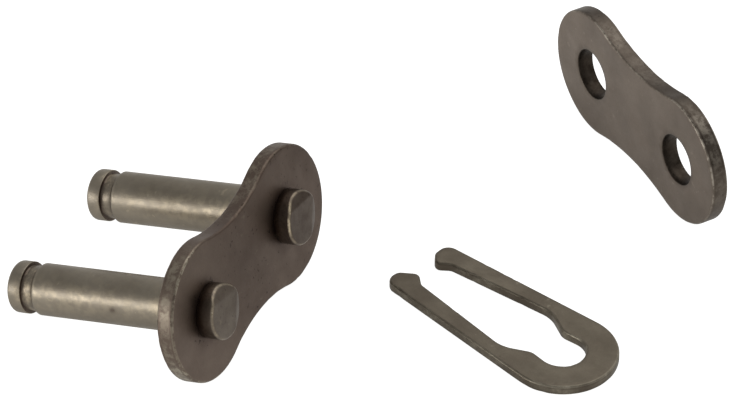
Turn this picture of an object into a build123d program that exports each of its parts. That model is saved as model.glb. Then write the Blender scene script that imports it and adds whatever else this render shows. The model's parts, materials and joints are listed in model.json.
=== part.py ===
from build123d import *
import math
import os

# Clip-type connecting link (master link) for a 15.875 mm pitch motorcycle drive chain,
# taken apart and laid out on a bench: the riveted pin link, the loose cover plate and the
# spring clip. Millimetres, +Z up, bench surface at Z = 0, X along the spring clip.

os.makedirs("parts", exist_ok=True)

# ---- Driving dimensions: side plates --------------------------------------------------
PITCH = 15.875               # pin centre to pin centre, 5/8 inch
PIN_PLATE_HEIGHT = 14.0      # across one lobe
COVER_PLATE_HEIGHT = 13.4
WAIST_HEIGHT = 11.1          # across the waist of the figure eight
PLATE_THICKNESS = 1.75
PLATE_EDGE_ROUND = 0.25      # blanked rim, tumbled smooth
COVER_HOLE_RADIUS = 2.6      # slips over the pins
COVER_HOLE_BREAK = 0.1       # chamfer of the holes' edges

# ---- Driving dimensions: pins ---------------------------------------------------------
PIN_RADIUS = 2.54
TENON_RADIUS = 2.3           # shouldered end that passes through the plate
PIN_STAND_OUT = 19.65        # plate's inner face to the free end of the pin
CAP_LENGTH = 1.5             # full-diameter end outside the clip groove
CAP_ROUND = 0.35
GROOVE_WIDTH = 1.1
GROOVE_RADIUS = 2.2          # core left at the bottom of the clip groove
GROOVE_LEAD = 0.3            # bevel on the shaft's side of the groove
HEAD_RADIUS = 2.72           # riveted head outside the plate
HEAD_HEIGHT = 1.8
HEAD_BEVEL = 0.3
HEAD_DISH_RADIUS = 1.9       # shallow flat left by the riveting punch
HEAD_DISH_DEPTH = 0.08

# ---- Driving dimensions: spring clip --------------------------------------------------
CLIP_THICKNESS = 1.05
CLIP_END_RADIUS = 5.5        # outside of the closed end
SEAT_RADIUS = 2.3            # pocket round the front pin's groove
LEG_TAPER = 4.2              # degrees the outside of each leg leans inwards
CLIP_EDGE_ROUND = 0.25

# Corners of a leg's outline from its tip to the pocket, each (x, y, radius). One leg is
# cropped a little shorter than the other.
NEAR_LEG_REACH = 19.6
FAR_LEG_REACH = 19.0
TIP_SLANT = 0.15             # the tip's end leans back by this much
TIP_WIDEST = 2.3             # where the rounded end of the tip turns inwards
TIP_CORNER_RADIUS = 1.2
TIP_END_RADIUS = 0.9
LEG_CORNERS = {
    "hook": (17.75, 1.05, 0.7),    # snaps behind the rear pin's groove
    "throat": (16.5, 2.1, 0.9),    # rests in the rear pin's groove
    "flare": (4.6, 3.5, 3.5),      # widest place between the legs
    "neck": (1.9, 2.1, 1.5),       # lip that keeps the front pin in the pocket
}

# ---- Layout on the bench ---------------------------------------------------------------
PIN_LINK_YAW = 107.3         # degrees, plate's length from +X
PIN_LINK_AT = (4.6, -20.9)   # middle of the plate's outer face
COVER_YAW = -16.5
COVER_AT = (15.6, 22.0)
CLIP_AT = (30.1, -4.3)       # centre of the closed end


def plate_outline(height):
    """Figure-eight outline in the XY plane: two lobes joined by tangent waist arcs."""
    lobe = height / 2
    waist = WAIST_HEIGHT / 2
    centre_x = PITCH / 2
    waist_radius = (centre_x**2 + waist**2 - lobe**2) / (2 * (lobe - waist))
    share = lobe / (lobe + waist_radius)
    tangent_x = centre_x * (1 - share)
    tangent_y = (waist + waist_radius) * share
    curves = [
        ThreePointArc((tangent_x, tangent_y), (centre_x + lobe, 0), (tangent_x, -tangent_y)),
        ThreePointArc((tangent_x, -tangent_y), (0, -waist), (-tangent_x, -tangent_y)),
        ThreePointArc((-tangent_x, -tangent_y), (-centre_x - lobe, 0), (-tangent_x, tangent_y)),
        ThreePointArc((-tangent_x, tangent_y), (0, waist), (tangent_x, tangent_y)),
    ]
    return make_face(curves)


def side_plate(height, hole_radius, hole_break):
    """Plate standing in the XZ plane, outer face at Y = 0 and inner face behind it."""
    blank = extrude(plate_outline(height), PLATE_THICKNESS)
    plate = fillet(blank.edges().filter_by(GeomType.CIRCLE), PLATE_EDGE_ROUND)
    cutter = Cylinder(hole_radius, 3 * PLATE_THICKNESS)
    for side in (-1, 1):
        plate -= Pos(side * PITCH / 2, 0, PLATE_THICKNESS / 2) * cutter
    if hole_break > 0:
        rims = [
            edge for edge in plate.edges().filter_by(GeomType.CIRCLE)
            if abs(edge.radius - hole_radius) < 0.01
        ]
        plate = chamfer(rims, hole_break)
    return Rot(-90, 0, 0) * plate


def chain_pin():
    """Pin along +Y: riveted head in front of Y = 0, tenon, shaft, clip groove and end cap."""
    end = PLATE_THICKNESS + PIN_STAND_OUT
    groove_end = end - CAP_LENGTH
    groove_start = groove_end - GROOVE_WIDTH
    profile = Polyline(
        (0, -HEAD_HEIGHT + HEAD_DISH_DEPTH),
        (HEAD_DISH_RADIUS - 2 * HEAD_DISH_DEPTH, -HEAD_HEIGHT + HEAD_DISH_DEPTH),
        (HEAD_DISH_RADIUS, -HEAD_HEIGHT),
        (HEAD_RADIUS - HEAD_BEVEL, -HEAD_HEIGHT),
        (HEAD_RADIUS, -HEAD_HEIGHT + HEAD_BEVEL),
        (HEAD_RADIUS, 0),
        (TENON_RADIUS, 0),
        (TENON_RADIUS, PLATE_THICKNESS),
        (PIN_RADIUS, PLATE_THICKNESS),
        (PIN_RADIUS, groove_start - GROOVE_LEAD),
        (GROOVE_RADIUS, groove_start),
        (GROOVE_RADIUS, groove_end),
        (PIN_RADIUS, groove_end),
        (PIN_RADIUS, end),
        (0, end),
        close=True,
    )
    pin = revolve(make_face(profile), Axis.Y)
    rim = pin.edges().filter_by(GeomType.CIRCLE).sort_by(Axis.Y)[-1]
    return fillet(rim, CAP_ROUND)


def clip_half(reach):
    """Upper half of the clip's outline, from the closed end round to the pocket."""
    taper = math.radians(LEG_TAPER)
    diagonal = math.radians(135)
    leg_start = (CLIP_END_RADIUS * math.sin(taper), CLIP_END_RADIUS * math.cos(taper))
    tip_corner = (reach, leg_start[1] - (reach - leg_start[0]) * math.tan(taper))
    tip_end = (reach - TIP_SLANT, TIP_WIDEST)
    neck_x, neck_y, _ = LEG_CORNERS["neck"]
    pocket_angle = math.atan2(neck_y, neck_x) + math.acos(SEAT_RADIUS / math.hypot(neck_x, neck_y))
    pocket_edge = (SEAT_RADIUS * math.cos(pocket_angle), SEAT_RADIUS * math.sin(pocket_angle))
    corners = [(x, y) for x, y, _ in LEG_CORNERS.values()]
    radii = [radius for _, _, radius in LEG_CORNERS.values()]
    outer_arc = ThreePointArc(
        (-CLIP_END_RADIUS, 0),
        (CLIP_END_RADIUS * math.cos(diagonal), CLIP_END_RADIUS * math.sin(diagonal)),
        leg_start,
    )
    leg = FilletPolyline(
        leg_start,
        tip_corner,
        tip_end,
        *corners,
        pocket_edge,
        radius=[TIP_CORNER_RADIUS, TIP_END_RADIUS, *radii],
    )
    pocket_arc = ThreePointArc(
        pocket_edge,
        (SEAT_RADIUS * math.cos(diagonal), SEAT_RADIUS * math.sin(diagonal)),
        (-SEAT_RADIUS, 0),
    )
    return [outer_arc, leg, pocket_arc]


def spring_clip():
    """Flat spring clip lying on Z = 0, closed end at the origin, legs towards -X."""
    near_half = clip_half(NEAR_LEG_REACH)
    far_half = [curve.mirror(Plane.XZ) for curve in clip_half(FAR_LEG_REACH)]
    with BuildPart() as blank:
        with BuildSketch():
            with BuildLine():
                add(near_half + far_half)
            make_face()
        extrude(amount=CLIP_THICKNESS)
        faces = blank.faces().sort_by(Axis.Z)
        fillet(faces[0].edges() + faces[-1].edges(), CLIP_EDGE_ROUND)
    return Rot(0, 0, 180) * blank.part


def pin_link_lean():
    """Angle at which the pin link rests on its two lobes and its two pin ends."""
    reach = PIN_STAND_OUT - CAP_ROUND + PLATE_EDGE_ROUND
    drop = (PIN_PLATE_HEIGHT / 2 - PLATE_EDGE_ROUND) - (PIN_RADIUS - CAP_ROUND)
    span = math.hypot(reach, drop)
    return math.degrees(math.atan2(drop, reach) + math.asin((PLATE_EDGE_ROUND - CAP_ROUND) / span))


def on_bench(shape, lean, yaw, at):
    """Lean a standing piece forwards, turn it and set it down."""
    turned = Rot(0, 0, yaw) * (Rot(-lean, 0, 0) * shape)
    return Pos(at[0], at[1], 0) * turned


pin_piece = chain_pin()
link_pieces = {
    "pin_plate": side_plate(PIN_PLATE_HEIGHT, TENON_RADIUS, 0),
    "front_pin": Pos(-PITCH / 2, 0, 0) * pin_piece,
    "rear_pin": Pos(PITCH / 2, 0, 0) * pin_piece,
}
laid_out = {
    name: on_bench(shape, pin_link_lean(), PIN_LINK_YAW, PIN_LINK_AT)
    for name, shape in link_pieces.items()
}
link_drop = min(shape.bounding_box().min.Z for shape in laid_out.values())
laid_out = {name: Pos(0, 0, -link_drop) * shape for name, shape in laid_out.items()}

cover = side_plate(COVER_PLATE_HEIGHT, COVER_HOLE_RADIUS, COVER_HOLE_BREAK)
cover = on_bench(cover, 0, COVER_YAW, COVER_AT)
laid_out["cover_plate"] = Pos(0, 0, COVER_PLATE_HEIGHT / 2) * cover
laid_out["spring_clip"] = Pos(CLIP_AT[0], CLIP_AT[1], 0) * spring_clip()

box = Compound(list(laid_out.values())).bounding_box()
centre = Pos(-(box.min.X + box.max.X) / 2, -(box.min.Y + box.max.Y) / 2, 0)
for name, shape in laid_out.items():
    export_step(centre * shape, f"parts/{name}.step")
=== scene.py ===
import json
import math
import random

import bmesh
import bpy
from mathutils import Matrix, Vector, noise
from mathutils.geometry import delaunay_2d_cdt


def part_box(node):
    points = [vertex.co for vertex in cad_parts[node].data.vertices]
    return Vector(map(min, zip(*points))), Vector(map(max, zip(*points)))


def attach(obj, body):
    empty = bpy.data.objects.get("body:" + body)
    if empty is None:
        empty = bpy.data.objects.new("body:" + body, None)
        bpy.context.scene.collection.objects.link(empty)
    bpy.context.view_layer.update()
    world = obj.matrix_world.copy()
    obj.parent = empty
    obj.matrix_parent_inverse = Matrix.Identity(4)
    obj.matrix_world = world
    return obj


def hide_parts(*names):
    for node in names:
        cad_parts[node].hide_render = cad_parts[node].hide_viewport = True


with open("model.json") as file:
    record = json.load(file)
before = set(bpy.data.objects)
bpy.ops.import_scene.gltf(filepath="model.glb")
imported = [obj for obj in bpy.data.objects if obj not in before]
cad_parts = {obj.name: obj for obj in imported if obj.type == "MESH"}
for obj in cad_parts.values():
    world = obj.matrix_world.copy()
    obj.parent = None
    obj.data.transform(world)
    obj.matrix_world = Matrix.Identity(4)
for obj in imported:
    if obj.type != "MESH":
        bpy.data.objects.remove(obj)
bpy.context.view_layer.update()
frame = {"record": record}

# Clip-type connecting link of a drive chain, taken apart on a pale bench. Pieces are drawn
# in millimetres in their own axes, and MM turns them into metres in the shared frame.
MM = 0.001

# ---- Dimensions, as in the CAD model ---------------------------------------------------
PITCH = 15.875
WAIST_HEIGHT = 11.1
PLATE_THICKNESS = 1.75
PLATE_EDGE_ROUND = 0.25
PIN_PLATE_HEIGHT = 14.0
COVER_PLATE_HEIGHT = 13.4
COVER_HOLE_RADIUS = 2.6
COVER_HOLE_BREAK = 0.1
PIN_RADIUS = 2.54
TENON_RADIUS = 2.3
PIN_STAND_OUT = 19.65
CAP_LENGTH = 1.5
CAP_ROUND = 0.35
GROOVE_WIDTH = 1.1
GROOVE_RADIUS = 2.2
GROOVE_LEAD = 0.3
HEAD_RADIUS = 2.72
HEAD_HEIGHT = 1.8
CLIP_THICKNESS = 1.05
CLIP_EDGE_ROUND = 0.25
CLIP_END_RADIUS = 5.5
SEAT_RADIUS = 2.3
LEG_TAPER = 4.2
NEAR_LEG_REACH = 19.6
FAR_LEG_REACH = 19.0
TIP_SLANT = 0.15
TIP_WIDEST = 2.3
TIP_CORNER_RADIUS = 1.2
TIP_END_RADIUS = 0.9
LEG_CORNERS = [
    (17.75, 1.05, 0.7),  # hook
    (16.5, 2.1, 0.9),    # throat
    (4.6, 3.5, 3.5),     # flare
    (1.9, 2.1, 1.5),     # neck
]

# ---- What the riveting punch left on a head ----------------------------------------------
HEAD_ROUND = 0.27
STRUCK_END = -0.7            # the punch's marks end at this y, where the dark foot starts
HEAD_TONES = {"front_pin": 0.64, "rear_pin": 0.84}
# Facets struck on each head: (across, up, distance from the middle, slope).
HEAD_FACETS = {
    "front_pin": [(0.16, 0.99, 1.6, 0.42), (0.88, -0.47, 1.75, 0.2)],
    "rear_pin": [(0.12, 0.99, 1.5, 0.28), (0.88, -0.47, 1.75, 0.2)],
}

# ---- Wear and painted shade on the blanked plates and the clip --------------------------
KNOCK_DEPTH = 0.05           # small knocks along the outer edge
KNOCK_WIDTH = 0.35
KNOCKED_WEAR = 0.2           # only places worn more than this are knocked
PLATE_KNOCKS = 26
CLIP_KNOCKS = 14
PLATE_WAVINESS = 0.02        # depth of the hollows in the flat faces
CLIP_WAVINESS = 0.012
WAVE_FREQUENCY = 0.35
BORE_SHADE = 0.9             # painted shade inside the holes
TENON_BEVEL = 0.02           # edge of the holes the pins are pressed into

# ---- Wear and painted highlights on the pins, angles in radians round from the top -------
SHEEN_AND_WEAR_ANGLE = 5.15          # side of a pin with the most wear and painted highlight
SHEEN_AND_WEAR_SPREAD = 0.5
SHEEN_AND_WEAR_ELSEWHERE = 0.35
SHEEN_AND_WEAR_MORE = 1.3
SCUFF_LENGTH = 2.2           # shaft scuffed by the plate
GROOVE_RUFFLE = 0.015        # roughness of the turned groove
FRONT_SPOTS = [(4.9, 9.4, 0.3)]    # small dark spots on the front pin: (angle, y, size)

# ---- Mesh fineness ---------------------------------------------------------------------
OUTLINE_STEP = 0.12
FACE_STEP = 0.55
ROW_STEP = FACE_STEP * 0.866       # rows of near-even triangles
FACE_MARGIN = FACE_STEP * 0.6      # clear of the rings round a face
FACE_SETTLE = 1.5                  # waviness fades out this near to a ring
CORNER_STEPS = 6
HEAD_RINGS = 16
SHAFT_RINGS = 60
PIN_SEGMENTS = 192


# ---- Where the pieces lie --------------------------------------------------------------
mounts = {mount["name"]: mount for mount in frame["record"]["mounts"]}


def link_axes(front, rear, depth):
    """Row frame of a plate: x from front to rear hole, y into the plate, z across it."""
    first, second = (Vector(mounts[name]["pos_m"]) for name in (front, rear))
    y = Vector(mounts[front]["axis"]).normalized()
    x = (second - first).normalized()
    z = x.cross(y)
    origin = (first + second) / 2 - depth * MM * y
    axes = Matrix((x, y, z)).transposed().to_4x4()
    return Matrix.Translation(origin) @ axes


running_length = PIN_STAND_OUT - CAP_LENGTH - GROOVE_WIDTH - GROOVE_LEAD
pin_link_axes = link_axes(
    "front_pin_shaft", "rear_pin_shaft", PLATE_THICKNESS + running_length / 2
)
cover_axes = link_axes("cover_hole_front", "cover_hole_rear", PLATE_THICKNESS / 2)
clip_low, clip_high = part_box("spring_clip")
clip_axes = Matrix.Translation(
    Vector((clip_high.x - CLIP_END_RADIUS * MM, (clip_low.y + clip_high.y) / 2, clip_low.z))
) @ Matrix.Rotation(math.pi, 4, "Z")


# ---- Outlines --------------------------------------------------------------------------
def arc(centre, radius, start, stop):
    """Points on an arc, angles in radians, without the last one."""
    count = max(6, int(abs(stop - start) * radius / OUTLINE_STEP))
    angles = (start + (stop - start) * i / count for i in range(count))
    return [
        Vector((centre[0] + radius * math.cos(a), centre[1] + radius * math.sin(a)))
        for a in angles
    ]


def rounded_path(points, radii):
    """Polyline through points with its inner corners rounded by tangent arcs."""
    path = [Vector(points[0])]
    for before, corner, after, radius in zip(points, points[1:], points[2:], radii):
        corner = Vector(corner)
        u = (Vector(before) - corner).normalized()
        v = (Vector(after) - corner).normalized()
        half = u.angle(v) / 2
        reach = radius / math.tan(half)
        centre = corner + (u + v).normalized() * (radius / math.sin(half))
        first = corner + u * reach - centre
        turn = first.angle_signed(corner + v * reach - centre)
        start = math.atan2(first.y, first.x)
        path.extend(arc(centre, radius, start, start - turn))
    path.append(Vector(points[-1]))
    return path


def even(loop, step):
    """A closed loop resampled to even steps."""
    closed = loop + [loop[0]]
    lengths = [(b - a).length for a, b in zip(closed, closed[1:])]
    total = sum(lengths)
    count = round(total / step)
    points = []
    index, passed = 0, 0.0
    for i in range(count):
        target = total * i / count
        while passed + lengths[index] < target:
            passed += lengths[index]
            index += 1
        share = (target - passed) / lengths[index]
        points.append(closed[index].lerp(closed[index + 1], share))
    return points


def plate_outline(height):
    """Figure eight: two lobes joined by tangent waist arcs, anticlockwise."""
    lobe = height / 2
    waist = WAIST_HEIGHT / 2
    centre_x = PITCH / 2
    waist_radius = (centre_x**2 + waist**2 - lobe**2) / (2 * (lobe - waist))
    waist_y = waist + waist_radius
    lean = math.atan2(waist_y, centre_x)
    right = arc((centre_x, 0), lobe, -(math.pi - lean), math.pi - lean)
    top = arc((0, waist_y), waist_radius, -lean, lean - math.pi)
    half = right + top
    return half + [-point for point in half]


def clip_half(reach):
    """Half of the clip's outline, from the closed end round to the pocket."""
    taper = math.radians(LEG_TAPER)
    leg_start = CLIP_END_RADIUS * Vector((math.sin(taper), math.cos(taper)))
    tip_corner = (reach, leg_start.y - (reach - leg_start.x) * math.tan(taper))
    tip_end = (reach - TIP_SLANT, TIP_WIDEST)
    neck = Vector(LEG_CORNERS[-1][:2])
    pocket_angle = math.atan2(neck.y, neck.x) + math.acos(SEAT_RADIUS / neck.length)
    pocket_edge = SEAT_RADIUS * Vector((math.cos(pocket_angle), math.sin(pocket_angle)))
    corners = [(x, y) for x, y, _ in LEG_CORNERS]
    radii = [radius for _, _, radius in LEG_CORNERS]
    outer = arc((0, 0), CLIP_END_RADIUS, math.pi, math.pi / 2 - taper)
    leg = rounded_path(
        [leg_start, tip_corner, tip_end, *corners, pocket_edge],
        [TIP_CORNER_RADIUS, TIP_END_RADIUS, *radii],
    )
    pocket = arc((0, 0), SEAT_RADIUS, pocket_angle, math.pi)
    return outer + leg + pocket[1:] + [Vector((-SEAT_RADIUS, 0))]


def clip_outline():
    """Flat spring clip, closed end round the origin, legs towards +x, anticlockwise."""
    upper = clip_half(NEAR_LEG_REACH)
    lower = [Vector((point.x, -point.y)) for point in clip_half(FAR_LEG_REACH)]
    return list(reversed(upper + lower[-2:0:-1]))


def outward(loop):
    """Unit normals that point out of an anticlockwise loop."""
    count = len(loop)
    normals = []
    for i in range(count):
        along = loop[(i + 1) % count] - loop[i - 1]
        normals.append(Vector((along.y, -along.x)).normalized())
    return normals


def inside(point, loop):
    """Whether a point is inside a closed loop."""
    odd = False
    for a, b in zip(loop, loop[1:] + loop[:1]):
        if (a.y > point.y) != (b.y > point.y):
            if point.x < a.x + (point.y - a.y) * (b.x - a.x) / (b.y - a.y):
                odd = not odd
    return odd


# ---- Meshes ----------------------------------------------------------------------------
class Skin:
    """Vertices, faces and the wear, painted highlights, stains and painted shade on them, for one
    piece.
    """

    def __init__(self):
        self.points = []
        self.faces = []
        self.paint = {"wear_and_sheen": [], "side": [], "stain_and_shade": []}

    def add(self, point, wear_and_sheen=0.0, side=0.0, stain_and_shade=0.0):
        self.points.append(Vector(point))
        for key, value in (("wear_and_sheen", wear_and_sheen), ("side", side), ("stain_and_shade", stain_and_shade)):
            self.paint[key].append(value)
        return len(self.points) - 1

    def bridge(self, first, second):
        """Quads between two closed rings of the same length."""
        count = len(first)
        for i in range(count):
            j = (i + 1) % count
            self.faces.append((first[i], first[j], second[j], second[i]))

    def make(self, name, axes, material):
        mesh = bpy.data.meshes.new(name)
        mesh.from_pydata([axes @ (p * MM) for p in self.points], [], self.faces)
        for key, values in self.paint.items():
            layer = mesh.attributes.new(key, "FLOAT", "POINT")
            layer.data.foreach_set("value", values)
        shape = bmesh.new()
        shape.from_mesh(mesh)
        bmesh.ops.recalc_face_normals(shape, faces=shape.faces)
        shape.to_mesh(mesh)
        shape.free()
        mesh.shade_smooth()
        mesh.materials.append(material)
        obj = bpy.data.objects.new(name, mesh)
        bpy.context.collection.objects.link(obj)
        return obj


def dents(loop, count, seed):
    """Small knocks along an outline: how far each point is pushed in."""
    chance = random.Random(seed)
    pushed = [0.0] * len(loop)
    for _ in range(count):
        middle = chance.randrange(len(loop))
        deep = KNOCK_DEPTH * chance.uniform(0.3, 1.0)
        wide = KNOCK_WIDTH * chance.uniform(0.5, 1.5)
        for i, point in enumerate(loop):
            gap = (point - loop[middle]).length / wide
            pushed[i] += deep * math.exp(-gap * gap)
    return pushed


def slab(outline, holes, profile, hole_profile, waviness, seed, knocks, wear_and_sheen_at, stained_and_shaded):
    """Blanked plate: rims follow a profile of (inset, height, wear and painted highlight, side) from
    the back face to the front, and the faces between are filled with a fine, slightly wavy skin. How
    much wear and painted highlight and how much stain and painted shade a place has come from
    functions of its point."""
    skin = Skin()
    loops = [(outline, profile, 1)] + [(hole, hole_profile, -1) for hole in holes]
    ends = []
    for index, (loop, rim, sense) in enumerate(loops):
        normals = outward(loop)
        pushed = dents(loop, knocks if index == 0 else 0, seed)
        rings = []
        for inset, height, wear_and_sheen, side in rim:
            ring = []
            for i, point in enumerate(loop):
                shift = inset + pushed[i] * (wear_and_sheen > KNOCKED_WEAR)
                place = point - normals[i] * shift * sense
                wear_and_sheen_share = min(1.0, wear_and_sheen * wear_and_sheen_at(point))
                stain_and_shade = stained_and_shaded(point, side) if sense > 0 else BORE_SHADE * side
                ring.append(skin.add((place.x, height, place.y), wear_and_sheen_share, side, stain_and_shade))
            rings.append(ring)
        for first, second in zip(rings, rings[1:]):
            if sense > 0:
                skin.bridge(first, second)
            else:
                skin.bridge(second, first)
        ends.append((rings[0], rings[-1]))
    for side in (0, 1):
        fill(skin, [end[side] for end in ends], waviness, seed + side, side, stained_and_shaded)
    return skin


def fill(skin, rings, waviness, seed, side, stained_and_shaded):
    """Face of a slab: triangles over an even scatter of points between its rings."""
    flat = [[Vector((skin.points[i].x, skin.points[i].z)) for i in ring] for ring in rings]
    height = skin.points[rings[0][0]].y
    owners = [i for ring in rings for i in ring]
    places = [point for ring in flat for point in ring]
    edges = []
    start = 0
    for ring in rings:
        edges += [(start + i, start + (i + 1) % len(ring)) for i in range(len(ring))]
        start += len(ring)
    xs = [point.x for point in flat[0]]
    ys = [point.y for point in flat[0]]
    row = 0
    y = min(ys)
    while y < max(ys):
        x = min(xs) + (row % 2) * FACE_STEP / 2
        while x < max(xs):
            point = Vector((x, y))
            near = min((point - other).length for ring in flat for other in ring[::3])
            clear = near > FACE_MARGIN
            if clear and inside(point, flat[0]) and not any(inside(point, h) for h in flat[1:]):
                depth = waviness * min(1.0, near / FACE_SETTLE)
                wave = noise.noise((x * WAVE_FREQUENCY, y * WAVE_FREQUENCY, seed * 7.3))
                rise = wave * 0.5 - 0.5
                inward = depth * rise * (1 if side else -1)
                owners.append(skin.add((x, height + inward, y), 0, 0, stained_and_shaded(point, 0)))
                places.append(point)
            x += FACE_STEP
        row += 1
        y += ROW_STEP
    result = delaunay_2d_cdt(places, edges, [], 1, 1e-7)
    origins = result[3]
    for face in result[2]:
        middle = sum((result[0][i] for i in face), Vector((0, 0))) / len(face)
        if any(inside(middle, hole) for hole in flat[1:]):
            continue
        corners = [owners[origins[i][0]] for i in face]
        a, b, c = (skin.points[i] for i in corners[:3])
        up = (b - a).cross(c - a).y
        if (up > 0) != bool(side):
            corners.reverse()
        skin.faces.append(tuple(corners))


def round_edge(radius, low, high, wear_and_sheen):
    """Profile of a rim with both edges rounded: (inset, height, wear and painted highlight, side)."""
    angles = [math.pi / 2 * i / CORNER_STEPS for i in range(CORNER_STEPS + 1)]
    rise = [(radius * (1 - math.sin(a)), radius * (1 - math.cos(a)), a) for a in angles]
    # Wear peaks halfway round each rounded edge and is partly a painted highlight along it.
    back = [(inset, low + up, wear_and_sheen * math.sin(2 * a) ** 3, a) for inset, up, a in rise]
    front = [(inset, high - up, wear_and_sheen * math.sin(2 * a) ** 3, a) for inset, up, a in rise]
    middle = []
    for share in (0.2, 0.4, 0.6, 0.8):
        height = low + radius + (high - low - 2 * radius) * share
        middle.append((0.0, height, 0.1 * wear_and_sheen, math.pi / 2))
    rim = back + middle + front[::-1]
    return [(inset, height, wear_and_sheen_share, a / (math.pi / 2)) for inset, height, wear_and_sheen_share, a in rim]


def bore_edge(bevel, low, high):
    """Profile of a hole's wall with a small bevel at both ends, back to front."""
    return [
        (bevel, low, 0.0, 0.3),
        (bevel * 0.3, low + bevel * 0.3, 0.15, 1.0),
        (0.0, low + bevel, 0.0, 1.1),
        (0.0, (low + high) / 2, 0.0, 1.1),
        (0.0, high - bevel, 0.0, 1.1),
        (bevel * 0.3, high - bevel * 0.3, 0.15, 1.0),
        (bevel, high, 0.0, 0.3),
    ]


def circle(x, radius):
    """Round hole's outline, anticlockwise."""
    return arc((x, 0), radius, 0, 2 * math.pi)


def plate(height, hole_radius, bevel, seed, wear_and_sheen_at, stained_and_shaded):
    """Side plate with its outer face at y = 0 and its inner face at y = thickness."""
    outline = even(plate_outline(height), OUTLINE_STEP)
    holes = [circle(side * PITCH / 2, hole_radius) for side in (-1, 1)]
    rim = round_edge(PLATE_EDGE_ROUND, 0.0, PLATE_THICKNESS, 1.0)
    wall = bore_edge(bevel, 0.0, PLATE_THICKNESS)
    return slab(
        outline, holes, rim, wall, PLATE_WAVINESS, seed, PLATE_KNOCKS, wear_and_sheen_at, stained_and_shaded
    )


def wear_and_sheen_round(angle):
    """How much wear and painted highlight a pin has at an angle round from the top, most on one side.
    """
    gap = (angle - SHEEN_AND_WEAR_ANGLE) / SHEEN_AND_WEAR_SPREAD
    return SHEEN_AND_WEAR_ELSEWHERE + SHEEN_AND_WEAR_MORE * math.exp(-gap * gap)


def turned(profile, x, seed, facets, spots):
    """Piece turned about the line through (x, 0) along y, from (radius, y, wear and painted
    highlight, side, stain and painted shade), with facets struck on its head, more wear and painted
    highlight on one side than the rest and small dark spots of (angle, y, size)."""
    skin = Skin()
    rings = []
    for radius, y, wear_and_sheen, side, stain_and_shade in profile:
        ring = []
        for i in range(PIN_SEGMENTS):
            a = 2 * math.pi * i / PIN_SEGMENTS
            ruffle = noise.noise((math.cos(a) * 2.0, math.sin(a) * 2.0, y * 0.8 + seed))
            r = radius - GROOVE_RUFFLE * side * (0.5 + 0.5 * ruffle)
            struck = 0.0
            if y < STRUCK_END:
                struck = facet_drop(facets, r * math.sin(a), r * math.cos(a))
            dark = stain_and_shade
            for angle, spot_y, size in spots:
                gap = math.hypot((a - angle) * radius, y - spot_y) / size
                dark = max(dark, math.exp(-gap * gap))
            place = (x + r * math.sin(a), y + struck, r * math.cos(a))
            ring.append(skin.add(place, wear_and_sheen * wear_and_sheen_round(a), side, dark))
        rings.append(ring)
    for first, second in zip(rings, rings[1:]):
        skin.bridge(first, second)
    for ring, first_end in ((rings[0], True), (rings[-1], False)):
        centre = skin.points[ring[0]].copy()
        centre.x = x
        centre.z = 0
        middle = skin.add(centre, 0, 0, skin.paint["stain_and_shade"][ring[0]])
        for i in range(PIN_SEGMENTS):
            pair = (ring[i], ring[(i + 1) % PIN_SEGMENTS])
            skin.faces.append((middle, *(pair if first_end else pair[::-1])))
    return skin


def facet_drop(facets, x, z):
    """How far the riveting punch has pushed in the head's end at a place."""
    drop = 0.0
    for across, up, offset, slope in facets:
        drop = max(drop, slope * (across * x + up * z - offset))
    return drop


def corner_round(radius, y, size, toward, wear_and_sheen, stain_and_shade):
    """Points round a convex corner of a turned profile, from the end face to the wall."""
    points = []
    for i in range(CORNER_STEPS + 1):
        a = math.pi / 2 * i / CORNER_STEPS
        points.append(
            (
                radius - size * (1 - math.sin(a)),
                y + toward * size * (1 - math.cos(a)),
                wear_and_sheen * math.sin(2 * a) ** 2,
                0.0,
                stain_and_shade,
            )
        )
    return points


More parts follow.
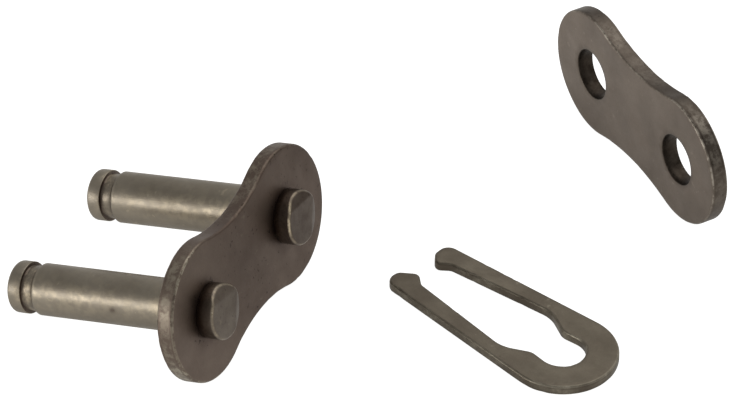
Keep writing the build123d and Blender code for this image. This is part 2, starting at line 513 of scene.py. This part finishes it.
def pin_profile(head_tone):
    """Pin from its riveted head to its free end, as (radius, y, wear and painted highlight, side,
    stain and painted shade).
    """
    end = PLATE_THICKNESS + PIN_STAND_OUT
    groove_end = end - CAP_LENGTH
    groove_start = groove_end - GROOVE_WIDTH
    shaft_end = groove_start - GROOVE_LEAD
    flat = HEAD_RADIUS - HEAD_ROUND
    head = []
    for i in range(1, HEAD_RINGS):
        head.append((flat * i / HEAD_RINGS, -HEAD_HEIGHT, 0.0, 0.0, head_tone))
    # The head's rounded corner is bright with wear and a painted highlight.
    head += corner_round(HEAD_RADIUS, -HEAD_HEIGHT, HEAD_ROUND, 1, 1.7, head_tone)
    # Painted shade down the head's side, darkest at its foot on the plate.
    head.append((HEAD_RADIUS, STRUCK_END, 0.0, 0.6, 0.8))
    head.append((HEAD_RADIUS - 0.02, -0.05, 0.0, 1.0, 1.0))
    tenon = [(TENON_RADIUS, 0.0, 0, 0, 0), (TENON_RADIUS, PLATE_THICKNESS, 0, 0, 0)]
    shaft = []
    for i in range(SHAFT_RINGS + 1):
        y = PLATE_THICKNESS + (shaft_end - PLATE_THICKNESS) * i / SHAFT_RINGS
        scuffed = math.exp(-(((y - PLATE_THICKNESS) / SCUFF_LENGTH) ** 2))
        shaft.append((PIN_RADIUS, y, 0.32 + 0.6 * scuffed, 0.0, 0.12 * scuffed))
    # Painted shade in the groove, darkest against the cap's inner wall, and a painted highlight on
    # the cap's inner edge.
    groove = [
        (PIN_RADIUS - 0.03, shaft_end + 0.04, 0.3, 0.0, 0.0),
        (GROOVE_RADIUS + 0.06, groove_start - 0.05, 0.0, 0.5, 0.15),
        (GROOVE_RADIUS, groove_start + 0.04, 0.1, 1.0, 0.2),
        (GROOVE_RADIUS, (groove_start + groove_end) / 2, 0.25, 1.0, 0.2),
        (GROOVE_RADIUS, groove_end - 0.3, 0.0, 1.0, 0.35),
        (GROOVE_RADIUS, groove_end - 0.04, 0.0, 1.0, 0.9),
        (GROOVE_RADIUS + 0.05, groove_end, 0.0, 1.0, 1.0),
        (PIN_RADIUS - 0.06, groove_end, 0.0, 0.3, 0.8),
        (PIN_RADIUS - 0.015, groove_end + 0.015, 0.9, 0.0, 0.0),
        (PIN_RADIUS, groove_end + 0.06, 0.5, 0.0, 0.0),
    ]
    cap = list(reversed(corner_round(PIN_RADIUS, end, CAP_ROUND, -1, 0.4, 0.0)))
    face = [(1.2, end, 0.0, 0.0, 0.0), (0.5, end - 0.03, 0.0, 0.0, 0.0)]
    return head + tenon + shaft + groove + cap + face


# ---- Materials -------------------------------------------------------------------------
class Nodes:
    """Short way to write a node tree."""

    def __init__(self, name):
        self.material = bpy.data.materials.new(name)
        self.material.use_nodes = True
        self.tree = self.material.node_tree
        self.shader = self.tree.nodes["Principled BSDF"]
        self.coords = self.tree.nodes.new("ShaderNodeTexCoord").outputs["Object"]

    def link(self, value, socket):
        if isinstance(value, bpy.types.NodeSocket):
            self.tree.links.new(value, socket)
        else:
            socket.default_value = value

    def noise(self, scale, detail=4.0, rough=0.55, stretch=(1, 1, 1)):
        """Noise of features about 1/scale metres across."""
        mapping = self.tree.nodes.new("ShaderNodeMapping")
        mapping.inputs["Scale"].default_value = stretch
        self.tree.links.new(self.coords, mapping.inputs["Vector"])
        node = self.tree.nodes.new("ShaderNodeTexNoise")
        node.inputs["Scale"].default_value = scale
        node.inputs["Detail"].default_value = detail
        node.inputs["Roughness"].default_value = rough
        self.tree.links.new(mapping.outputs["Vector"], node.inputs["Vector"])
        return node.outputs["Fac"]

    def attribute(self, name):
        node = self.tree.nodes.new("ShaderNodeAttribute")
        node.attribute_name = name
        return node.outputs["Fac"]

    def span(self, value, low, high, to_low=0.0, to_high=1.0):
        node = self.tree.nodes.new("ShaderNodeMapRange")
        self.link(value, node.inputs["Value"])
        node.inputs["From Min"].default_value = low
        node.inputs["From Max"].default_value = high
        node.inputs["To Min"].default_value = to_low
        node.inputs["To Max"].default_value = to_high
        return node.outputs["Result"]

    def maths(self, operation, first, second):
        node = self.tree.nodes.new("ShaderNodeMath")
        node.operation = operation
        self.link(first, node.inputs[0])
        self.link(second, node.inputs[1])
        return node.outputs["Value"]

    def mix(self, share, first, second):
        node = self.tree.nodes.new("ShaderNodeMix")
        node.data_type = "RGBA"
        self.link(share, node.inputs["Factor"])
        for socket, value in ((node.inputs["A"], first), (node.inputs["B"], second)):
            self.link(value if isinstance(value, bpy.types.NodeSocket) else (*value, 1), socket)
        return node.outputs["Result"]

    def bump(self, heights):
        """Chained bumps from (height, distance in metres) pairs."""
        normal = None
        for height, distance in heights:
            node = self.tree.nodes.new("ShaderNodeBump")
            node.inputs["Strength"].default_value = 1.0
            node.inputs["Distance"].default_value = distance
            self.link(height, node.inputs["Height"])
            if normal is not None:
                self.tree.links.new(normal, node.inputs["Normal"])
            normal = node.outputs["Normal"]
        self.tree.links.new(normal, self.shader.inputs["Normal"])


# Tones of each steel, linear: (base, dark, bright for wear and painted highlights, stained for stains
# and painted shade).
PLATE_TONES = [
    (0.222, 0.171, 0.135),
    (0.145, 0.107, 0.084),
    (0.62, 0.56, 0.43),
    (0.062, 0.036, 0.028),
]
COVER_TONES = [
    (0.262, 0.214, 0.173),
    (0.168, 0.137, 0.11),
    (0.66, 0.59, 0.49),
    (0.03, 0.022, 0.016),
]
CLIP_TONES = [
    (0.172, 0.148, 0.112),
    (0.10, 0.080, 0.060),
    (0.62, 0.56, 0.44),
    (0.05, 0.042, 0.032),
]
PIN_TONES = [
    (0.345, 0.303, 0.243),
    (0.22, 0.188, 0.143),
    (0.72, 0.60, 0.42),
    (0.078, 0.052, 0.043),
]


def steel(name, tones, rough, grain, ripple, mottling, rim_darkening, specked, marked, steady):
    """Satin steel: cloudy tone, fine grit, pits, edges bright with wear and painted highlights,
    speckled rims, and stains with painted shade. Its grit and ripple are in metres; mottling and
    darkening are of the rims, specks are in the stains and painted shade, marks are nicks and pits,
    and a steady wear is less broken up."""
    base, dark, bright, stained_and_shaded = tones
    n = Nodes(name)
    cloud = n.span(n.noise(220, 3), 0.35, 0.68)
    grit = n.noise(5200, 5, 0.7)
    pits = n.span(n.noise(1500, 3, 0.6), 0.27, 0.2)
    colour = n.mix(n.maths("MULTIPLY", cloud, 0.55), base, dark)
    colour = n.mix(n.span(grit, 0.35, 0.75, 0.0, 0.3), colour, dark)
    mottle = n.span(n.noise(1100, 5, 0.75), 0.46, 0.62)
    patch = n.span(n.noise(170, 2), 0.36, 0.56)
    side = n.attribute("side")
    colour = n.mix(n.maths("MULTIPLY", side, n.span(patch, 0, 1, rim_darkening, 0.3 * rim_darkening)), colour, dark)
    speckle = n.maths("MULTIPLY", n.maths("MULTIPLY", side, mottle), patch)
    colour = n.mix(n.maths("MULTIPLY", speckle, mottling), colour, bright)
    nicks = n.span(n.noise(1250, 2, 0.4, (1.0, 0.6, 1.0)), 0.7, 0.74, 0.0, 0.2 * marked)
    colour = n.mix(nicks, colour, bright)
    # Stains and painted shade, mixed in as the darkest tone.
    stain_and_shade = n.attribute("stain_and_shade")
    broken = n.span(n.noise(900, 3, 0.6), 0.3, 0.7, 0.75, 1.0)
    colour = n.mix(n.maths("MULTIPLY", stain_and_shade, broken), colour, stained_and_shaded)
    specks = n.span(n.noise(2100, 2), 0.35, 0.3)
    near = n.span(stain_and_shade, 0.15, 0.5, 0.0, specked)
    colour = n.mix(n.maths("MULTIPLY", specks, near), colour, [c * 0.3 for c in stained_and_shaded])
    # Wear and painted highlights: bright colour mixed in, broken up by noise.
    wear_and_sheen_share = n.span(n.noise(1300, 4, 0.7), 0.44, 0.58, steady, 1.0)
    patchy = n.maths("MULTIPLY", wear_and_sheen_share, n.span(patch, 0, 1, 0.35, 1.0))
    wear_and_sheen = n.maths("MULTIPLY", n.attribute("wear_and_sheen"), patchy)
    colour = n.mix(n.maths("MULTIPLY", wear_and_sheen, 0.75), colour, bright)
    colour = n.mix(n.maths("MULTIPLY", pits, 0.6 * marked), colour, [c * 0.35 for c in dark])
    n.tree.links.new(colour, n.shader.inputs["Base Color"])
    n.shader.inputs["Metallic"].default_value = 1.0
    shine = n.span(n.noise(420, 4, 0.65), 0.3, 0.7, rough - 0.06, rough + 0.08)
    n.tree.links.new(shine, n.shader.inputs["Roughness"])
    n.bump([(grit, grain), (n.noise(1500, 3), ripple), (pits, -0.00002)])
    return n.material


looks = {
    "plate_steel": steel(
        "plate_look",
        tones=PLATE_TONES,
        rough=0.42,
        grain=5e-6,
        ripple=1.2e-5,
        mottling=0.35,
        rim_darkening=0.3,
        specked=0.9,
        marked=0.5,
        steady=0.1,
    ),
    "cover_steel": steel(
        "cover_look",
        tones=COVER_TONES,
        rough=0.42,
        grain=5e-6,
        ripple=1.2e-5,
        mottling=0.2,
        rim_darkening=0.9,
        specked=0.4,
        marked=0.5,
        steady=0.15,
    ),
    "clip_steel": steel(
        "clip_look",
        tones=CLIP_TONES,
        rough=0.4,
        grain=4e-6,
        ripple=1.2e-5,
        mottling=0.2,
        rim_darkening=0.9,
        specked=0.4,
        marked=0.6,
        steady=0.6,
    ),
    "pin_steel": steel(
        "pin_look",
        tones=PIN_TONES,
        rough=0.39,
        grain=7e-6,
        ripple=2.2e-5,
        mottling=0.7,
        rim_darkening=0.4,
        specked=0.3,
        marked=1.3,
        steady=0.25,
    ),
}


# ---- The pieces ------------------------------------------------------------------------
def put(skin, node, axes, slot, body):
    """Makes the mesh, lets it ride on its body and lets it stand for its CAD node."""
    piece = skin.make(node + "_skin", axes, looks[slot])
    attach(piece, body)
    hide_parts(node)


def round_heads(point, side):
    """Painted shade round the two rivet heads and along the rounded edges, with the face darker
    towards the waist and the rear lobe.
    """
    stain_and_shade = 0.0
    # Painted shade round each rivet head.
    for head in (-1, 1):
        gap = (point - Vector((head * PITCH / 2 - 0.5, 0))).length
        stain_and_shade = max(stain_and_shade, math.exp(-(((gap - 2.2) / 1.3) ** 2)) if gap > 2.2 else 1.0)
    # Darker towards the waist and the rear lobe.
    middle = 0.6 * math.exp(-((point.x / 5) ** 2))
    rear = 0.42 / (1 + math.exp(4 - point.x))
    # Painted shade on the rounded edges.
    edge = 0.35 * math.sin(math.pi * side)
    return 0.7 * max(stain_and_shade, middle, rear) * (1 - edge) + edge


def front_lobe_wear_and_sheen(point):
    """Wear and painted highlight on the pin plate's edge: most round the front lobe's end."""
    return 0.15 + 9.0 / (1 + math.exp(1.5 * (point.x + 9.5)))


def rim_angle(point):
    """Angle of a place on the cover plate about the hole that is nearest the camera."""
    return math.atan2(point.y, point.x - PITCH / 2)


def painted_rim_shade(point, side):
    """Painted shade on the cover plate's rim, darkest round the near lobe's upper side."""
    near = math.exp(-(((rim_angle(point) - 0.9) / 0.6) ** 2)) if point.x > 4 else 0.0
    return side * (0.54 + 0.34 * near)


def cover_wear_and_sheen(point):
    """Wear and painted highlight on the cover plate's edge: most on the near lobe, then on the far
    one.
    """
    near = math.exp(-(((rim_angle(point) - 1.0) / 0.5) ** 2)) if point.x > 4 else 0.0
    far = math.exp(-(((point - Vector((-5.5, 6.2))).length / 1.6) ** 2))
    return 0.6 + 4.0 * near + 1.5 * far


def clip_end_wear_and_sheen(point):
    """Wear and painted highlight on the clip's edge: most round its closed end."""
    return 0.6 + 1.6 / (1 + math.exp(2 * point.x))


def clean(point, side):
    """The clip has no stains and no painted shade."""
    return 0.0


pin_plate = plate(
    PIN_PLATE_HEIGHT,
    TENON_RADIUS,
    TENON_BEVEL,
    seed=3,
    wear_and_sheen_at=front_lobe_wear_and_sheen,
    stained_and_shaded=round_heads,
)
put(pin_plate, "pin_plate", pin_link_axes, "plate_steel", "pin_link")
for node, side, spots in (("front_pin", -1, FRONT_SPOTS), ("rear_pin", 1, [])):
    profile = pin_profile(HEAD_TONES[node])
    pin = turned(profile, side * PITCH / 2, side * 5, HEAD_FACETS[node], spots)
    put(pin, node, pin_link_axes, "pin_steel", "pin_link")

cover_plate = plate(
    COVER_PLATE_HEIGHT,
    COVER_HOLE_RADIUS,
    COVER_HOLE_BREAK,
    seed=11,
    wear_and_sheen_at=cover_wear_and_sheen,
    stained_and_shaded=painted_rim_shade,
)
put(cover_plate, "cover_plate", cover_axes, "cover_steel", "cover")

spring_clip = slab(
    even(clip_outline(), OUTLINE_STEP),
    holes=[],
    profile=round_edge(CLIP_EDGE_ROUND, 0.0, CLIP_THICKNESS, 1.0),
    hole_profile=[],
    waviness=CLIP_WAVINESS,
    seed=21,
    knocks=CLIP_KNOCKS,
    wear_and_sheen_at=clip_end_wear_and_sheen,
    stained_and_shaded=clean,
)
# Swaps a slab's y and z, so that its thickness points up.
lying = Matrix(((1, 0, 0, 0), (0, 0, 1, 0), (0, 1, 0, 0), (0, 0, 0, 1)))
put(spring_clip, "spring_clip", clip_axes @ lying, "clip_steel", "clip")


# ---- Bench, lights and camera ----------------------------------------------------------
CAMERA_AZIMUTH = math.radians(43.85)
CAMERA_ELEVATION = math.radians(38.7)
CAMERA_HEIGHT = 0.3407
CAMERA_TARGET = Vector((-0.00855, 0.00463, 0))
CAMERA_LENS = 270.5
SENSOR_WIDTH = 36
BENCH_SIZE = 3.0             # half a side
BENCH_SEEN = 0.95            # how bright the camera sees it
BENCH_LIT = 0.33             # how bright the pieces see it


def bench():
    """Plain pale floor. It looks almost white, and lights the pieces as a greyer one."""
    mesh = bpy.data.meshes.new("bench")
    signs = ((-1, -1), (1, -1), (1, 1), (-1, 1))
    corners = [(x * BENCH_SIZE, y * BENCH_SIZE, 0) for x, y in signs]
    mesh.from_pydata(corners, [], [(0, 1, 2, 3)])
    n = Nodes("bench")
    n.shader.inputs["Base Color"].default_value = (0.62, 0.62, 0.61, 1)
    n.shader.inputs["Roughness"].default_value = 0.9
    n.shader.inputs["Specular IOR Level"].default_value = 0.1
    n.shader.inputs["Emission Color"].default_value = (1, 1, 1, 1)
    seen = n.tree.nodes.new("ShaderNodeLightPath").outputs["Is Camera Ray"]
    glow = n.span(seen, 0, 1, BENCH_LIT, BENCH_SEEN)
    n.tree.links.new(glow, n.shader.inputs["Emission Strength"])
    mesh.materials.append(n.material)
    obj = bpy.data.objects.new("bench", mesh)
    bpy.context.collection.objects.link(obj)


def softbox(name, azimuth, elevation, distance, width, height, watts):
    """Area light that faces the pieces from a direction measured as the camera's is."""
    light = bpy.data.lights.new(name, "AREA")
    light.shape = "RECTANGLE"
    light.size = width
    light.size_y = height
    light.energy = watts
    obj = bpy.data.objects.new(name, light)
    obj.location = CAMERA_TARGET + distance * direction(azimuth, elevation)
    facing = CAMERA_TARGET - obj.location
    obj.rotation_euler = facing.to_track_quat("-Z", "Y").to_euler()
    bpy.context.collection.objects.link(obj)


def direction(azimuth, elevation):
    """Unit vector from the pieces towards a place, angles in radians."""
    flat = math.cos(elevation)
    return Vector((math.sin(azimuth) * flat, -math.cos(azimuth) * flat, math.sin(elevation)))


def sky(horizon, zenith):
    """Plain studio surroundings, duller overhead."""
    world = bpy.data.worlds.new("studio")
    bpy.context.scene.world = world
    world.use_nodes = True
    tree = world.node_tree
    coords = tree.nodes.new("ShaderNodeTexCoord").outputs["Generated"]
    split = tree.nodes.new("ShaderNodeSeparateXYZ")
    tree.links.new(coords, split.inputs["Vector"])
    ramp = tree.nodes.new("ShaderNodeMapRange")
    ramp.inputs["From Min"].default_value = 0.0
    ramp.inputs["From Max"].default_value = 1.0
    ramp.inputs["To Min"].default_value = horizon
    ramp.inputs["To Max"].default_value = zenith
    tree.links.new(split.outputs["Z"], ramp.inputs["Value"])
    tree.links.new(ramp.outputs["Result"], tree.nodes["Background"].inputs["Strength"])
    tree.nodes["Background"].inputs["Color"].default_value = (1.0, 1.0, 1.0, 1)


bench()
sky(horizon=0.5, zenith=0.22)
softbox(
    "left_strip",
    azimuth=CAMERA_AZIMUTH - 1.16,
    elevation=math.radians(3),
    distance=0.8,
    width=0.4,
    height=0.36,
    watts=1.6,
)
softbox(
    "overhead",
    azimuth=CAMERA_AZIMUTH + 2.6,
    elevation=math.radians(60),
    distance=0.9,
    width=0.9,
    height=0.9,
    watts=2.5,
)

camera = bpy.data.cameras.new("camera")
camera.lens = CAMERA_LENS
camera.sensor_width = SENSOR_WIDTH
camera.clip_start = 0.01
camera_object = bpy.data.objects.new("camera", camera)
towards = direction(CAMERA_AZIMUTH, CAMERA_ELEVATION)
camera_object.location = CAMERA_TARGET + towards * CAMERA_HEIGHT / math.sin(CAMERA_ELEVATION)
camera_object.rotation_euler = (-towards).to_track_quat("-Z", "Y").to_euler()
bpy.context.collection.objects.link(camera_object)
bpy.context.scene.camera = camera_object
bpy.context.scene.view_settings.view_transform = "Standard"
